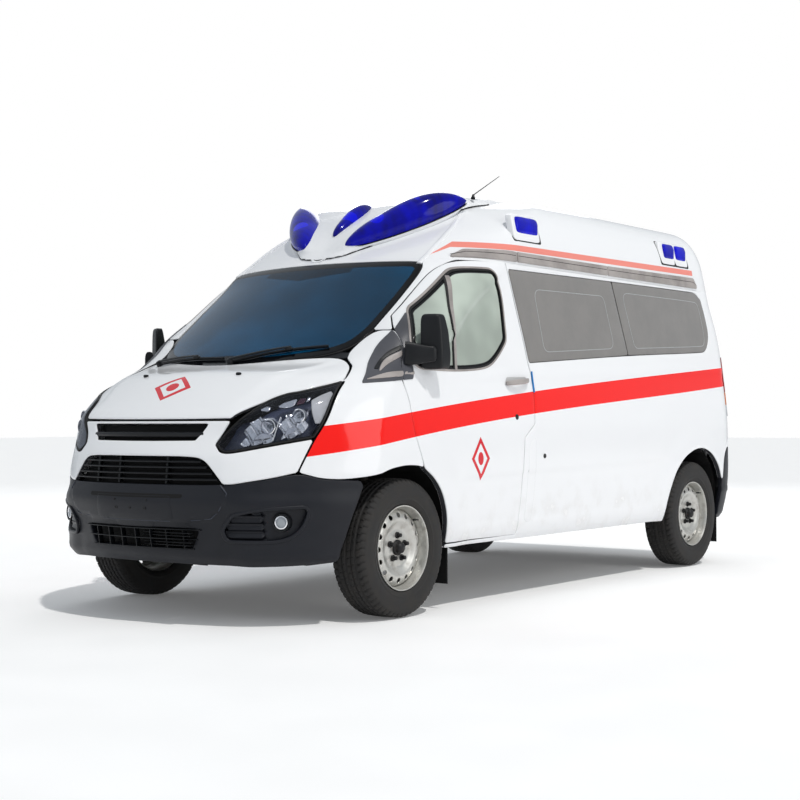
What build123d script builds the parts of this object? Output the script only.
from build123d import *
import math
import os

# High-roof panel-van ambulance, in millimetres.
# +Z is up, the nose points along -Y and the vehicle's left side is +X.
# The origin is on the ground, under the middle of the vehicle's bounding box.

# ---------------------------------------------------------------- driving dimensions
LENGTH = 5000.0
WHEELBASE = 3300.0
FRONT_OVERHANG = 963.0
HALF_TRACK = 868.0
TYRE_RADIUS = 352.0
TYRE_WIDTH = 214.0
RIM_RADIUS = 214.0          # outside of the rim barrel, where the tyre sits
RIM_BARREL_WALL = 9.0
WALL = 40.0                 # thickness of a body wall or a door
BONNET_WALL = 22.0
GLASS_DEPTH = 4.0           # how far glass lies under the outside of the body
GLASS = 5.0
RECESS = 24.0               # how deep the grilles and fog lamps sit
SEAM = 6.0                  # gap round whatever opens
BONNET_SEAM = 9.0
FLOOR_TOP = 520.0
FLOOR_THICKNESS = 40.0
GUTTER_Z = 1892.0           # where the raised roof sits on the body sides
SILL_Z = 326.0
KINGPIN_X = 800.0
AXLE_STUB_RADIUS = 30.0
RUNNING_CLEARANCE = 0.05
STEERED_REACH = 399.0       # room that a turned front wheel needs round its kingpin
SWEEP_SKIN = 16.0           # outer skin left where the wall gives that room
FAR = 3000.0

TAIL_Y = LENGTH / 2
FRONT_AXLE_Y = FRONT_OVERHANG - LENGTH / 2
REAR_AXLE_Y = FRONT_AXLE_Y + WHEELBASE
SIDES = (("left", 1), ("right", -1))

os.makedirs("parts", exist_ok=True)


def save(name, *shapes):
    """Writes one node; several shapes are like pieces that don't touch."""
    solids = [solid for shape in shapes for solid in shape.solids()]
    export_step(solids[0] if len(solids) == 1 else Compound(children=solids), f"parts/{name}.step")


# ---------------------------------------------------------------- helpers
def block(x0, x1, y0, y1, z0, z1):
    return Pos((x0 + x1) / 2, (y0 + y1) / 2, (z0 + z1) / 2) * Box(x1 - x0, y1 - y0, z1 - z0)


def side_block(side, x0, x1, y0, y1, z0, z1):
    """A block that is given for the left side, on either side."""
    return block(x0, x1, y0, y1, z0, z1) if side > 0 else block(-x1, -x0, y0, y1, z0, z1)


def prism(plane, points, length, grow):
    face = make_face(Polyline(*points, close=True))
    if grow:
        face = offset(face, grow, kind=Kind.INTERSECTION)
    return extrude(plane * face, length)


def across(points, x0, x1, grow=0.0):
    """A prism along X from an outline of (y, z) points."""
    return prism(Plane(origin=(x0, 0, 0), x_dir=(0, 1, 0), z_dir=(1, 0, 0)), points, x1 - x0, grow)


def on_side(side, points, x0, x1, grow=0.0):
    """The same prism, given for the left side, on either side."""
    return across(points, x0, x1, grow) if side > 0 else across(points, -x1, -x0, grow)


def on_both(points, x0, x1, grow=0.0):
    return on_side(1, points, x0, x1, grow) + on_side(-1, points, x0, x1, grow)


def along(points, y0, y1, grow=0.0):
    """A prism along Y from an outline of (x, z) points."""
    return prism(Plane(origin=(0, y1, 0), x_dir=(1, 0, 0), z_dir=(0, -1, 0)), points, y1 - y0, grow)


def upright(points, z0, z1, grow=0.0):
    """A prism along Z from an outline of (x, y) points."""
    return prism(Plane(origin=(0, 0, z0)), points, z1 - z0, grow)


def rod_x(radius, x0, x1, y, z):
    """A cylinder along X."""
    return Pos((x0 + x1) / 2, y, z) * Rot(0, 90, 0) * Cylinder(radius, abs(x1 - x0))


def rod_y(radius, x, y0, y1, z):
    """A cylinder along Y."""
    return Pos(x, (y0 + y1) / 2, z) * Rot(90, 0, 0) * Cylinder(radius, y1 - y0)


def mirrored(points):
    """The outline of (x, ...) points on the other side of the vehicle."""
    return [(-x, other) for x, other in points]


def whole(half):
    """A symmetrical outline from its left half, which starts and ends on the middle line."""
    return half + mirrored(half)[-2:0:-1]


# ---------------------------------------------------------------- body envelope
# Level cuts through the body. Each is an arc across the nose, an arc round each front
# corner, a straight side, an arc round each rear corner and a straight tail.
# columns: z, nose y, brow x, brow y, corner x, corner y, side x, side y, tail y, tail radius
LEVELS = [
    (290, -2400, 515, -2330, 785, -2140, 930, -1790, 2440, 270),
    (370, -2455, 515, -2366, 795, -2180, 960, -1790, 2480, 290),
    (480, -2474, 515, -2385, 800, -2180, 982, -1780, 2494, 300),
    (600, -2500, 515, -2411, 800, -2196, 991, -1770, 2500, 300),
    (680, -2486, 515, -2397, 800, -2178, 993, -1765, 2500, 300),
    (822, -2472, 515, -2372, 800, -2140, 992, -1760, 2500, 300),
    (940, -2425, 515, -2325, 800, -2108, 989, -1740, 2500, 300),
    (1003, -2404, 515, -2316, 797, -2092, 983, -1720, 2499, 290),
    (1120, -2262, 515, -2180, 785, -2005, 968, -1660, 2495, 275),
    (1225, -2103, 500, -2030, 755, -1860, 952, -1560, 2489, 255),
    (1289, -1850, 600, -1750, 800, -1655, 944, -1350, 2484, 250),
    (1351, -1770, 690, -1600, 830, -1540, 938, -1150, 2477, 245),
    (1455, -1635, 702, -1470, 838, -1415, 928, -1000, 2464, 240),
    (1600, -1446, 702, -1282, 818, -1215, 912, -820, 2432, 235),
    (1790, -1200, 697, -1043, 782, -968, 891, -520, 2356, 230),
    (1850, -1120, 682, -985, 768, -880, 884, -440, 2338, 225),
    (1911, -1030, 664, -895, 755, -780, 877, -400, 2322, 220),
    (1990, -905, 657, -776, 745, -660, 868, -330, 2306, 215),
    (2060, -790, 642, -664, 728, -550, 854, -260, 2294, 210),
    (2120, -690, 621, -560, 704, -440, 834, -180, 2285, 205),
    (2180, -590, 590, -460, 670, -330, 805, -90, 2270, 200),
    (2240, -480, 540, -340, 620, -200, 762, 20, 2245, 190),
    (2290, -360, 450, -200, 530, -60, 690, 150, 2190, 180),
    (2328, -180, 280, -40, 390, 80, 500, 300, 2040, 170),
]
CAP_Z = LEVELS[-1][0]


def level_face(z, nose_y, brow_x, brow_y, corner_x, corner_y, side_x, side_y, tail_y, tail_r, inset):
    """One level cut, drawn in by the inset all round."""
    nose = nose_y + inset
    brow = (brow_x - inset * 0.45, brow_y + inset * 0.9)
    corner = (corner_x - inset * 0.72, corner_y + inset * 0.72)
    side = side_x - inset
    radius = tail_r - inset
    tail = tail_y - inset
    bend = radius * (1 - math.sqrt(0.5))
    right = [
        ThreePointArc(brow, corner, (side, side_y)),
        Line((side, side_y), (side, tail - radius)),
        ThreePointArc((side, tail - radius), (side - bend, tail - bend), (side - radius, tail)),
    ]
    left = [
        ThreePointArc((-(side - radius), tail), (-(side - bend), tail - bend), (-side, tail - radius)),
        Line((-side, tail - radius), (-side, side_y)),
        ThreePointArc((-side, side_y), (-corner[0], corner[1]), (-brow[0], brow[1])),
    ]
    front = ThreePointArc((-brow[0], brow[1]), (0, nose), brow)
    back = Line((side - radius, tail), (-(side - radius), tail))
    return Plane(origin=(0, 0, z)) * make_face([front] + right + [back] + left)


def envelope(inset):
    """The closed body shape, drawn in by the inset; the sloping bonnet and roof come down too."""
    faces = []
    for level in LEVELS:
        z = level[0]
        drop = inset * (0.75 if z > 1900 else 0.45 if z > 1100 else 0.0)
        drop = inset if z == CAP_Z else drop
        faces.append(level_face(z - drop, *level[1:], inset))
    return loft(faces, ruled=True)


outside = envelope(0)
lining = envelope(WALL)
room = envelope(WALL + 2)
shell = outside - lining
glass_band = envelope(GLASS_DEPTH) - envelope(GLASS_DEPTH + GLASS)
recess_floor = envelope(RECESS)
recess_band = recess_floor - lining

# ---------------------------------------------------------------- wheel arches
# columns: distance behind the axle, z
FRONT_ARCH_ROWS = [(-455, 200), (-450, 310), (-425, 430), (-385, 560), (-325, 676), (-250, 728), (-150, 758),
                   (-26, 771), (70, 768), (150, 744), (228, 696), (298, 620), (348, 505), (364, 400), (366, 200)]
REAR_ARCH_ROWS = [(-440, 200), (-437, 345), (-412, 496), (-328, 640), (-195, 737), (-30, 792), (110, 797),
                  (240, 757), (340, 672), (398, 560), (418, 440), (418, 200)]
FRONT_ARCH = [(FRONT_AXLE_Y + behind, z) for behind, z in FRONT_ARCH_ROWS]
REAR_ARCH = [(REAR_AXLE_Y + behind, z) for behind, z in REAR_ARCH_ROWS]
FRONT_HOUSE_X = 500.0
REAR_HOUSE_X = 700.0
HOUSE_OUTER_X = 930.0
FRONT_HOUSE_ROOM = 40.0     # how far the front liner stands off the arch, for the turned wheel
LINER = 12.0

sweep = [Pos(side * KINGPIN_X, FRONT_AXLE_Y, 300) * Cylinder(STEERED_REACH, 560) for _, side in SIDES]
arches = on_both(FRONT_ARCH, 480, 1100) + on_both(REAR_ARCH, 480, 1100)
arches += (sweep[0] + sweep[1]) & envelope(SWEEP_SKIN)

# ---------------------------------------------------------------- outlines on the body
# seen from the side, as (y, z)
FRONT_DOOR = [(-1404, 757), (-1472, 936), (-1489, 1098), (-1530, 1199), (-1492, 1285), (-1442, 1376),
              (-1415, 1468), (-1338, 1547), (-1144, 1691), (-983, 1810), (-823, 1876), (-498, 1884),
              (-449, 1884), (-308, 1324), (-278, 1164), (-309, 970), (-423, 892), (-450, 657), (-478, 352),
              (-1250, 352), (-1404, 600)]
DOOR_WINDOW = [(-1330, 1262), (-1252, 1590), (-941, 1785), (-860, 1818), (-605, 1824), (-533, 1722),
               (-532, 1441), (-627, 1354), (-738, 1290), (-1050, 1270)]
SIDE_WINDOW = [(-424, 1846), (-292, 1322), (905, 1401), (1960, 1452), (2100, 1593), (1902, 1861), (779, 1859)]
SLIDING_DOOR = [(-262, 345), (-262, 1164), (-290, 1323), (-430, 1880), (905, 1880), (930, 1340), (930, 760), (860, 345)]
RAIL = [(-811, 1894), (-708, 1947), (-420, 1957), (746, 1957), (1960, 1969), (2008, 1910), (2000, 1894)]
BUMPER_TOP = [(-2600, 200), (-2600, 690), (-2395, 690), (-2158, 746), (-2075, 716), (-1966, 709),
              (-1800, 706), (-1800, 200)]
REAR_BUMPER = [(2150, 200), (2150, 560), (2180, 720), (2260, 800), (2600, 800), (2600, 200)]
# seen from the front, as (x, z)
SCREEN = whole([(0, 1312), (249, 1322), (460, 1340), (592, 1364), (672, 1405), (704, 1463), (706, 1548),
                (703, 1692), (700, 1836), (560, 1866), (0, 1874)])
HEADLAMP = [(459, 885), (492, 852), (527, 843), (688, 880), (830, 915), (853, 1027), (836, 1149),
            (826, 1230), (500, 1230), (516, 1003)]
UPPER_GRILLE = whole([(0, 903), (345, 903), (400, 990), (0, 990)])
MAIN_GRILLE = whole([(0, 684), (515, 684), (440, 775), (360, 822), (0, 822)])
LOWER_GRILLE = whole([(0, 372), (345, 372), (398, 480), (0, 480)])
FOG_RECESS = [(517, 476), (825, 486), (847, 584), (554, 549)]
# seen from above, as (x, y)
BONNET = whole([(0, -2560), (500, -2560), (516, -2316), (605, -2168), (715, -2039), (821, -1836),
                (814, -1800), (770, -1712), (640, -1672), (460, -1747), (249, -1820), (0, -1873)])
BONNET_EDGE_Z = 1003.0
COVER_X = 815.0             # where the painted nose ends and the wing starts
COVER_Y = -2060.0

screen_cell = along(SCREEN, -2000, -850)
bonnet_hole = upright(BONNET, BONNET_EDGE_Z - SEAM, 1400, BONNET_SEAM)
bumper_cell = across(BUMPER_TOP, -1100, 1100)
rear_bumper_cell = across(REAR_BUMPER, -1100, 1100)
lamp_depth = block(-FAR, FAR, -2500, -1820, 800, 1300)
headlamp_cell = (along(HEADLAMP, -2500, -1820) + along(mirrored(HEADLAMP), -2500, -1820)) & lamp_depth
nose_cell = block(-COVER_X, COVER_X, -2600, COVER_Y, 600, BONNET_EDGE_Z - SEAM)
grille_cell = sum((along(outline, -2600, -2200) for outline in (MAIN_GRILLE, LOWER_GRILLE)),
                  along(UPPER_GRILLE, -2600, -2200))
fog_cell = (along(FOG_RECESS, -2500, -2000) + along(mirrored(FOG_RECESS), -2500, -2000)) - recess_floor
DOOR_INNER_X = 738.0
door_holes = on_both(FRONT_DOOR, DOOR_INNER_X - SEAM, 1100, SEAM)

# ---------------------------------------------------------------- rear doors
REAR_DOOR_TOP = 1880.0
REAR_DOOR_BOTTOM = 560.0
REAR_DOOR_EDGE = 730.0
REAR_DOOR_SPLIT = 6.0       # half of the gap between the two doors
REAR_WINDOW = [(120, 1230), (620, 1230), (600, 1760), (120, 1760)]
TAIL_LAMP = (800.0, 1100.0, 2300.0, 2600.0, 1010.0, 1430.0)
rear_opening = block(-REAR_DOOR_EDGE - SEAM, REAR_DOOR_EDGE + SEAM, 2150, 2600,
                     REAR_DOOR_BOTTOM - SEAM, REAR_DOOR_TOP + SEAM)
tail_lamp_cells = side_block(1, *TAIL_LAMP) + side_block(-1, *TAIL_LAMP)

for name, side in SIDES:
    window = along(REAR_WINDOW if side > 0 else mirrored(REAR_WINDOW), 2100, 2600)
    cell = side_block(side, REAR_DOOR_SPLIT, REAR_DOOR_EDGE, 2150, 2600, REAR_DOOR_BOTTOM, REAR_DOOR_TOP)
    save(f"rear_door_{name}", (shell & cell) - window)
    save(f"rear_window_{name}", glass_band & window)
save("tail_lamps", shell & tail_lamp_cells)
save("rear_bumper", (shell & rear_bumper_cell) - arches - rear_opening)

# ---------------------------------------------------------------- floor, sides and sliding door
core = envelope(WALL + 1)
house_hole = (on_both(REAR_ARCH, REAR_HOUSE_X, 1100, LINER + 1)
              + on_both(FRONT_ARCH, FRONT_HOUSE_X, 1100, FRONT_HOUSE_ROOM + LINER + 1))
STRETCHER_BOLTS = (400.0, 1200.0, 5.5)      # across, along, hole radius
STRETCHER_MIDDLE_Y = 900.0
floor_pan = core & block(-FAR, FAR, -1130, 2150, FLOOR_TOP - FLOOR_THICKNESS, FLOOR_TOP)
floor_pan -= house_hole
for x in (-STRETCHER_BOLTS[0] / 2, STRETCHER_BOLTS[0] / 2):
    for y in (-STRETCHER_BOLTS[1] / 2, STRETCHER_BOLTS[1] / 2):
        floor_pan -= Pos(x, STRETCHER_MIDDLE_Y + y, FLOOR_TOP) * Cylinder(STRETCHER_BOLTS[2], 100)
save("floor_pan", floor_pan)

WING_TOP = 1460.0
WING_BACK = -1400.0
wing_block = block(-FAR, FAR, -2600, WING_BACK, 600, WING_TOP)
COWL_X = 640.0
cowl_block = block(-COWL_X, COWL_X, -2000, -1500, 1200, 1460)

SLIDING_FRAME = 34.0        # door round its window
REAR_PANE_Y = 965.0
left_pane = on_side(1, SIDE_WINDOW, 600, 1100)
right_panes = on_side(-1, SIDE_WINDOW, 560, 1100)
rear_pane = right_panes & block(-FAR, FAR, REAR_PANE_Y, FAR, 0, FAR)
sliding_pane = right_panes & on_side(-1, SLIDING_DOOR, 560, 1100, -SLIDING_FRAME)

sides = shell & block(-FAR, FAR, -1560, 2600, SILL_Z, GUTTER_Z)
sides = sides - wing_block - arches - screen_cell
sides = sides - rear_opening - rear_bumper_cell - door_holes - tail_lamp_cells
save("body_side_left", (sides & block(0, FAR, -FAR, FAR, 0, FAR)) - left_pane)
right_side = (sides & block(-FAR, 0, -FAR, FAR, 0, FAR)) - rear_pane
save("body_side_right", right_side - on_side(-1, SLIDING_DOOR, 560, 1100))
save("sliding_door", (shell & on_side(-1, SLIDING_DOOR, 560, 1100, -SEAM)) - sliding_pane)
save("side_windows", *[glass_band & pane for pane in (left_pane, rear_pane, sliding_pane)])

# ---------------------------------------------------------------- front panels and lamps
wings = (shell & wing_block) - arches - bonnet_hole - headlamp_cell - nose_cell - bumper_cell
save("front_wings", wings - door_holes - screen_cell - cowl_block)
save("cowl", (shell & cowl_block) - bonnet_hole - screen_cell)
save("bonnet", (outside - envelope(BONNET_WALL)) & upright(BONNET, BONNET_EDGE_Z, 1400))
save("nose_panel", (shell & nose_cell) - bumper_cell - grille_cell - headlamp_cell)
save("headlamps", (shell & headlamp_cell) - bonnet_hole)
save("grilles", recess_band & grille_cell)
PLATE_HOLES = (198.0, 573.0, 3.5)           # apart, height, radius
plate_drill = [rod_y(PLATE_HOLES[2], x, -2550, -2390, PLATE_HOLES[1])
               for x in (-PLATE_HOLES[0] / 2, PLATE_HOLES[0] / 2)]
save("front_bumper", (shell & bumper_cell) - arches - grille_cell - fog_cell - plate_drill)
FOG_LAMP = (763.0, 529.0, 43.0)             # x, z, radius
fog_rods = [rod_y(FOG_LAMP[2], side * FOG_LAMP[0], -2500, -2050, FOG_LAMP[1]) for _, side in SIDES]
save("fog_lamps", *[(rod & envelope(8)) - recess_floor for rod in fog_rods])
save("windscreen", glass_band & screen_cell)

# ---------------------------------------------------------------- raised roof and its light bar
roof_cell = block(-FAR, FAR, -1200, 2600, GUTTER_Z, 2400)
save("roof", shell & roof_cell)

# Level cuts through the light bar, which stands on the sloping front of the roof.
# columns: z, nose y, lobe x, lobe y, flank x, flank y
BAR_LEVELS = [
    (1900, -1046, 66, -1040, 136, -1008),
    (1950, -995, 130, -1008, 255, -930),
    (2000, -948, 180, -985, 345, -840),
    (2100, -850, 320, -850, 480, -660),
    (2200, -680, 440, -640, 585, -430),
    (2270, -530, 500, -510, 620, -300),
    (2312, -380, 470, -390, 560, -230),
]
BAR_BACK_Y = 100.0


def bar_face(z, nose_y, lobe_x, lobe_y, flank_x, flank_y):
    """One level cut: two lines meet at the nose, and an arc turns each lobe into the flank."""
    swell = ((lobe_x + flank_x) / 2 + 12, (lobe_y + flank_y) / 2 - 12)
    right = [Line((0, nose_y), (lobe_x, lobe_y)), ThreePointArc((lobe_x, lobe_y), swell, (flank_x, flank_y)),
             Line((flank_x, flank_y), (flank_x, BAR_BACK_Y))]
    left = [Line((-flank_x, BAR_BACK_Y), (-flank_x, flank_y)),
            ThreePointArc((-flank_x, flank_y), (-swell[0], swell[1]), (-lobe_x, lobe_y)),
            Line((-lobe_x, lobe_y), (0, nose_y))]
    back = Line((flank_x, BAR_BACK_Y), (-flank_x, BAR_BACK_Y))
    return Plane(origin=(0, 0, z)) * make_face(right + [back] + left)


LENS_TIP = 6.0              # radius of the small end faces
LENS_RISE = Vector(0, -0.515, 0.857)        # square to the sloping roof under the lenses


def lens(front, rear, radius, flat):
    """A long lens, slim at both ends: an arc turned about the line between them, with a flat base."""
    start, end = Vector(*front), Vector(*rear)
    length = (end - start).length
    corners = [(0, -length / 2), (LENS_TIP, -length / 2), (LENS_TIP, length / 2), (0, length / 2)]
    profile = make_face([Line(corners[0], corners[1]), ThreePointArc(corners[1], (radius, 0), corners[2]),
                         Line(corners[2], corners[3]), Line(corners[3], corners[0])])
    turned = revolve(profile, Axis.Y) - block(-200, -flat, -length, length, -200, 200)
    line = (end - start).normalized()
    out = (LENS_RISE - line * LENS_RISE.dot(line)).normalized()
    return Plane(origin=(start + end) * 0.5, x_dir=out, z_dir=out.cross(line)) * turned


# columns: front tip, rear tip, radius in the middle, depth of the flat base
LENSES = [((158, -985, 1990), (590, -425, 2262), 96, 20), ((-158, -985, 1990), (-590, -425, 2262), 96, 20),
          ((0, -905, 2056), (0, -540, 2262), 50, 15)]
lenses = [lens(*row) for row in LENSES]
bar = loft([bar_face(*row) for row in BAR_LEVELS], ruled=True) - outside
save("light_bar_fairing", bar - lenses)
save("light_bar_lenses", *lenses)

# columns: middle y, middle z, length, height
SIDE_LAMPS = [(-170, 2105, 250, 124), (1649, 2125, 160, 124), (1822, 2125, 160, 124)]
LAMP_REACH = (760.0, 880.0)
lamps = []
for y, z, length, height in SIDE_LAMPS:
    for _, side in SIDES:
        lamps.append(side_block(side, *LAMP_REACH, y - length / 2, y + length / 2,
                                z - height / 2, z + height / 2) - outside)
save("roof_side_lamps", *lamps)

RAIL_PROUD = 10.0
rail_band = envelope(-RAIL_PROUD) - outside
save("roof_rails", rail_band & on_side(1, RAIL, 600, 1100), rail_band & on_side(-1, RAIL, 600, 1100))

AERIAL_BASE = Vector(550, -280, 2318)
AERIAL_TIP = Vector(550, 0, 2465)
AERIAL_RADIUS = 4.0
whip = AERIAL_TIP - AERIAL_BASE
aerial = extrude(Plane(origin=AERIAL_BASE, z_dir=whip) * Circle(AERIAL_RADIUS), whip.length)
aerial += Pos(AERIAL_BASE) * Cylinder(18, 24)
save("aerial", aerial - outside - bar)

# ---------------------------------------------------------------- front doors and mirrors
MIRROR = [(895, -1310), (1040, -1296), (1053, -1270), (1050, -1222), (900, -1222)]
MIRROR_Z = (1262.0, 1512.0)
MIRROR_ARM = (800.0, 905.0, -1300.0, -1250.0, 1300.0, 1350.0)
for name, side in SIDES:
    window = on_side(side, DOOR_WINDOW, 560, 1100)
    door = (shell & on_side(side, FRONT_DOOR, DOOR_INNER_X, 1100)) - window - arches
    save(f"front_door_{name}", door)
    save(f"door_window_{name}", glass_band & window)
    housing = upright(MIRROR if side > 0 else mirrored(MIRROR), *MIRROR_Z)
    save(f"mirror_{name}", (housing + side_block(side, *MIRROR_ARM)) - outside)

# ---------------------------------------------------------------- wheel houses and mudflaps
house_room = room & block(-FAR, FAR, -FAR, FAR, 330, FAR)
AXLE_NOTCH = (60.0, 480.0, 730.0)           # half width, top z, outer x
houses = []
for rows, inner_x, stand_off in ((FRONT_ARCH, FRONT_HOUSE_X, FRONT_HOUSE_ROOM), (REAR_ARCH, REAR_HOUSE_X, 0.0)):
    for _, side in SIDES:
        house = on_side(side, rows, inner_x, HOUSE_OUTER_X, stand_off + LINER)
        house = (house - on_side(side, rows, inner_x + LINER, HOUSE_OUTER_X + 1, stand_off)) & house_room
        if rows is REAR_ARCH:
            house -= block(-AXLE_NOTCH[2], AXLE_NOTCH[2], REAR_AXLE_Y - AXLE_NOTCH[0],
                           REAR_AXLE_Y + AXLE_NOTCH[0], 0, AXLE_NOTCH[1])
        houses.append(house)
save("wheel_houses", *houses)

MUDFLAP = (150.0, 8.0, 190.0)
MUDFLAP_Z = 229.0
# columns: axle y, distance behind it
FLAP_PLACES = [(FRONT_AXLE_Y, 412), (REAR_AXLE_Y, 408)]
save("mudflaps", *[Pos(side * HALF_TRACK, axle_y + behind, MUDFLAP_Z) * Box(*MUDFLAP)
                   for axle_y, behind in FLAP_PLACES for _, side in SIDES])

# ---------------------------------------------------------------- running gear
OUTER_X = HALF_TRACK + TYRE_WIDTH / 2
STUB_END_X = 905.0
VENTS = (16, 168.0, 15.0)                   # how many, their circle's radius, their own radius


def knuckle(side):
    """Kingpin with the wheel stub, and the strut on a short arm."""
    post = Pos(KINGPIN_X, FRONT_AXLE_Y, TYRE_RADIUS) * Cylinder(34, 230)
    stub = rod_x(AXLE_STUB_RADIUS, KINGPIN_X - 40, STUB_END_X, FRONT_AXLE_Y, TYRE_RADIUS)
    arm = block(690, KINGPIN_X, FRONT_AXLE_Y - 25, FRONT_AXLE_Y + 25, 430, 465)
    strut = Pos(705, FRONT_AXLE_Y, 590) * Cylinder(26, 300)
    made = post + stub + arm + strut
    return made if side > 0 else mirror(made, about=Plane.YZ)


def wheel(axle_y, side):
    """Steel disc wheel: barrel, disc with vent holes and a hub boss; and its tyre."""
    inner_radius = RIM_RADIUS - RIM_BARREL_WALL
    barrel = (rod_x(RIM_RADIUS, OUTER_X - 195, OUTER_X - 12, 0, 0)
              - rod_x(inner_radius, OUTER_X - 200, OUTER_X, 0, 0))
    disc = rod_x(inner_radius, OUTER_X - 62, OUTER_X - 50, 0, 0)
    rim = barrel + disc + rod_x(62, OUTER_X - 105, OUTER_X - 30, 0, 0)
    count, circle, vent_radius = VENTS
    for step in range(count):
        turn = math.radians(360 / count * step)
        rim -= rod_x(vent_radius, OUTER_X - 80, OUTER_X - 40, circle * math.cos(turn), circle * math.sin(turn))
    rim -= rod_x(AXLE_STUB_RADIUS + RUNNING_CLEARANCE, OUTER_X - 140, STUB_END_X + 0.5, 0, 0)
    tyre = rod_x(TYRE_RADIUS, OUTER_X - TYRE_WIDTH, OUTER_X, 0, 0) - rod_x(
        RIM_RADIUS + 0.2, OUTER_X - TYRE_WIDTH - 1, OUTER_X + 1, 0, 0)
    edges = [edge for edge in tyre.edges().filter_by(GeomType.CIRCLE) if edge.radius > TYRE_RADIUS - 1]
    pieces = [Pos(0, axle_y, TYRE_RADIUS) * piece for piece in (rim, fillet(edges, 24))]
    return pieces if side > 0 else [mirror(piece, about=Plane.YZ) for piece in pieces]


for name, side in SIDES:
    for end, axle_y in (("front", FRONT_AXLE_Y), ("rear", REAR_AXLE_Y)):
        rim, tyre = wheel(axle_y, side)
        save(f"rim_{end}_{name}", rim)
        save(f"tyre_{end}_{name}", tyre)
    save(f"knuckle_{name}", knuckle(side))

BEAM_END_X = 745.0
axle = rod_x(45, -BEAM_END_X, BEAM_END_X, REAR_AXLE_Y, TYRE_RADIUS)
axle += rod_x(AXLE_STUB_RADIUS, -STUB_END_X, STUB_END_X, REAR_AXLE_Y, TYRE_RADIUS)
axle += Pos(0, REAR_AXLE_Y, TYRE_RADIUS) * Cylinder(110, 190)
save("rear_axle", axle)

SPRING_LEAF = 22.0
SPRING_WIDTH = 70.0
SPRING_X = 555.0
SPRING = [(REAR_AXLE_Y - 640, 300), (REAR_AXLE_Y, 398), (REAR_AXLE_Y + 600, 330)]
spring_top = [(y, z + SPRING_LEAF) for y, z in SPRING]
spring_face = make_face([ThreePointArc(*SPRING), Line(SPRING[2], spring_top[2]),
                         ThreePointArc(*spring_top[::-1]), Line(spring_top[0], SPRING[0])])
spring_planes = [Plane(origin=(side * SPRING_X - SPRING_WIDTH / 2, 0, 0), x_dir=(0, 1, 0), z_dir=(1, 0, 0))
                 for _, side in SIDES]
save("leaf_springs", *[extrude(plane * spring_face, SPRING_WIDTH) for plane in spring_planes])

CRADLE_X = 480.0
CONTROL_ARM_X = 660.0
cradle = block(-CRADLE_X, CRADLE_X, FRONT_AXLE_Y - 180, FRONT_AXLE_Y + 160, 250, 330)
cradle += block(-CONTROL_ARM_X, CONTROL_ARM_X, FRONT_AXLE_Y - 45, FRONT_AXLE_Y + 45, 262, 292)
save("front_subframe", cradle)
save("engine_block", block(-320, 320, -2150, -1600, 420, 1010))

# ---------------------------------------------------------------- cab
DASH = [(-1840, 1150), (-1840, 1235), (-1560, 1235), (-1350, 1215), (-1235, 1130), (-1235, 900),
        (-1330, 835), (-1560, 835), (-1560, 1150)]
save("dashboard", across(DASH, -760, 760) & core)
SEAT_BACK = [(-480, 820), (-340, 820), (-345, 1480), (-420, 1480)]
seats = []
for x0, x1 in ((170, 690), (-690, 20)):
    seats.append(block(x0, x1, -900, -420, 720, 870) + across(SEAT_BACK, x0 + 20, x1 - 20)
                 + block(x0 + 40, x1 - 40, -860, -460, FLOOR_TOP, 725))
save("seats", *seats)
save("bulkhead", core & block(-FAR, FAR, -330, -300, FLOOR_TOP, 1880))
WHEEL_MIDDLE = (420.0, -1085.0, 1120.0)
COLUMN_TILT = 32.0                          # how far the column leans back from upright
steering_wheel = Torus(180, 15) + Cylinder(45, 36) + Box(360, 36, 14)
save("steering_wheel", Pos(*WHEEL_MIDDLE) * Rot(-COLUMN_TILT, 0, 0) * steering_wheel)
